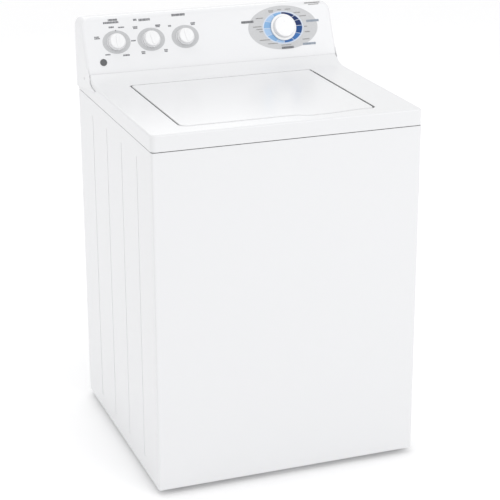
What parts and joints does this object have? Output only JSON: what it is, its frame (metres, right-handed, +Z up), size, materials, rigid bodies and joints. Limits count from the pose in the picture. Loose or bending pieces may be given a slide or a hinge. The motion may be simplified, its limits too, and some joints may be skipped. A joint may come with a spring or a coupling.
{
  "type": "washing machine",
  "caption": "White top-loading washing machine: square cabinet, lift-up lid in a stepped opening, leaning rear console with knobs and a push-pull timer, spring-hung tub, basket and agitator",
  "frame": {"origin": "centre of the footprint on the floor, under the feet", "axes": "+Z up, the front of the machine faces -Y, +X is to the right of someone standing in front of it"},
  "size_m": [0.686, 0.648, 1.067],
  "materials": {
    "white_enamel": "gloss",
    "galvanised": "satin",
    "zinc_steel": "satin",
    "bright_steel": "polished",
    "spring_steel": "satin",
    "white_console": "gloss",
    "white_knob": "gloss",
    "badge_grey": "gloss",
    "black_plastic": "matte",
    "white_plastic": "satin",
    "basket_enamel": "gloss",
    "cast_metal": "satin",
    "black_rubber": "matte"
  },
  "bodies": {
    "cabinet": {"side_panel_left": "white_enamel", "side_panel_right": "white_enamel", "front_panel": "white_enamel", "rear_panel": "galvanised", "base_frame": "galvanised", "corner_brackets": "galvanised", "rear_feet": "black_rubber", "top_cover": "white_enamel", "hinge_bushings": "black_plastic", "lid_switch": "black_plastic", "console_shell": "white_console", "console_back": "galvanised", "cabinet_screws": "zinc_steel", "badge_disc": "badge_grey", "load_switch": "black_plastic", "temperature_switch": "black_plastic", "options_switch": "black_plastic", "timer_body": "black_plastic", "inlet_valve": "white_plastic", "valve_coils": "black_plastic", "fill_hose": "black_rubber", "fill_nozzle": "white_plastic", "cord_gland": "black_plastic", "drain_elbow": "black_plastic", "suspension_rods": "bright_steel", "rod_cups": "zinc_steel", "suspension_springs": "spring_steel"},
    "foot_left": {"front_foot_left": "black_rubber"},
    "foot_right": {"front_foot_right": "black_rubber"},
    "lid": {"lid_panel": "white_enamel", "lid_pins": "bright_steel", "lid_bumpers": "black_rubber"},
    "lid_plunger": {"lid_switch_plunger": "black_plastic"},
    "load_control": {"load_knob": "white_knob"},
    "temperature_control": {"temperature_knob": "white_knob"},
    "options_control": {"options_knob": "white_knob"},
    "timer_skirt": {"timer_dial": "white_knob"},
    "timer_pull": {"timer_knob": "white_knob"},
    "tub": {"outer_tub": "white_plastic", "tub_cover": "white_plastic", "tub_bracket": "galvanised", "bearing_housing": "cast_metal", "tub_bearings": "bright_steel", "tub_seal": "black_rubber", "mode_shifter": "cast_metal", "motor_case": "zinc_steel", "drive_belt": "black_rubber", "pump_body": "black_plastic", "sump_hose": "black_rubber"},
    "basket_group": {"basket": "basket_enamel", "balance_ring": "white_plastic", "basket_hub": "cast_metal", "hub_nut": "zinc_steel", "spin_tube": "bright_steel"},
    "drive": {"drive_shaft": "bright_steel", "agitator": "white_plastic", "driven_pulley": "cast_metal"},
    "softener": {"softener_cup": "white_plastic"},
    "rotor": {"motor_pulley": "cast_metal"},
    "impeller": {"pump_impeller": "black_plastic"}
  },
  "joints": [
    {"name": "lid_hinge", "type": "hinge", "parent": "cabinet", "child": "lid", "pos_m": [0, 0.131, 0.908], "axis": [-1, 0, 0], "range_deg": [0, 105]},
    {"name": "lid_switch_press", "type": "slide", "parent": "cabinet", "child": "lid_plunger", "axis": [0, 0, -1], "range_m": [0, 0.004], "stiffness_N_per_m": 150},
    {"name": "load_turn", "type": "hinge", "parent": "cabinet", "child": "load_control", "pos_m": [-0.256, 0.24102, 1.0056], "axis": [0, -0.9063, 0.4226], "range_deg": [-150, 150]},
    {"name": "temperature_turn", "type": "hinge", "parent": "cabinet", "child": "temperature_control", "pos_m": [-0.1635, 0.24102, 1.0056], "axis": [0, -0.9063, 0.4226], "range_deg": [-180, 120]},
    {"name": "options_turn", "type": "hinge", "parent": "cabinet", "child": "options_control", "pos_m": [-0.071, 0.24102, 1.0056], "axis": [0, -0.9063, 0.4226], "range_deg": [-60, 0]},
    {"name": "timer_turn", "type": "hinge", "parent": "cabinet", "child": "timer_skirt", "pos_m": [0.202, 0.24229, 1.00832], "axis": [0, -0.9063, 0.4226], "continuous": true},
    {"name": "timer_pull_out", "type": "slide", "parent": "timer_skirt", "child": "timer_pull", "axis": [0, -0.9063, 0.4226], "range_m": [0, 0.006]},
    {"name": "tub_bounce", "type": "slide", "parent": "cabinet", "child": "tub", "axis": [0, 0, 1], "range_m": [-0.02, 0.014], "stiffness_N_per_m": 12000, "springref_m": 0.03, "deforming": ["suspension_springs"]},
    {"name": "basket_spin", "type": "hinge", "parent": "tub", "child": "basket_group", "pos_m": [0, -0.014, 0.5], "axis": [0, 0, 1], "continuous": true},
    {"name": "agitator_drive", "type": "hinge", "parent": "tub", "child": "drive", "pos_m": [0, -0.014, 0.4], "axis": [0, 0, 1], "continuous": true},
    {"name": "softener_lift", "type": "slide", "parent": "drive", "child": "softener", "axis": [0, 0, 1], "range_m": [0, 0.04]},
    {"name": "motor_turn", "type": "hinge", "parent": "tub", "child": "rotor", "pos_m": [-0.165, 0.056, 0.2], "axis": [0, 0, 1], "continuous": true},
    {"name": "pump_turn", "type": "hinge", "parent": "tub", "child": "impeller", "pos_m": [0.165, -0.084, 0.3], "axis": [0, 0, 1], "continuous": true},
    {"name": "foot_left_turn", "type": "hinge", "parent": "cabinet", "child": "foot_left", "pos_m": [-0.292, -0.275, 0], "axis": [0, 0, 1], "continuous": true},
    {"name": "foot_right_turn", "type": "hinge", "parent": "cabinet", "child": "foot_right", "pos_m": [0.292, -0.275, 0], "axis": [0, 0, 1], "continuous": true}
  ],
  "couplings": [
    {"joint": "motor_turn", "follows": "agitator_drive", "ratio": 4.2589}
  ]
}
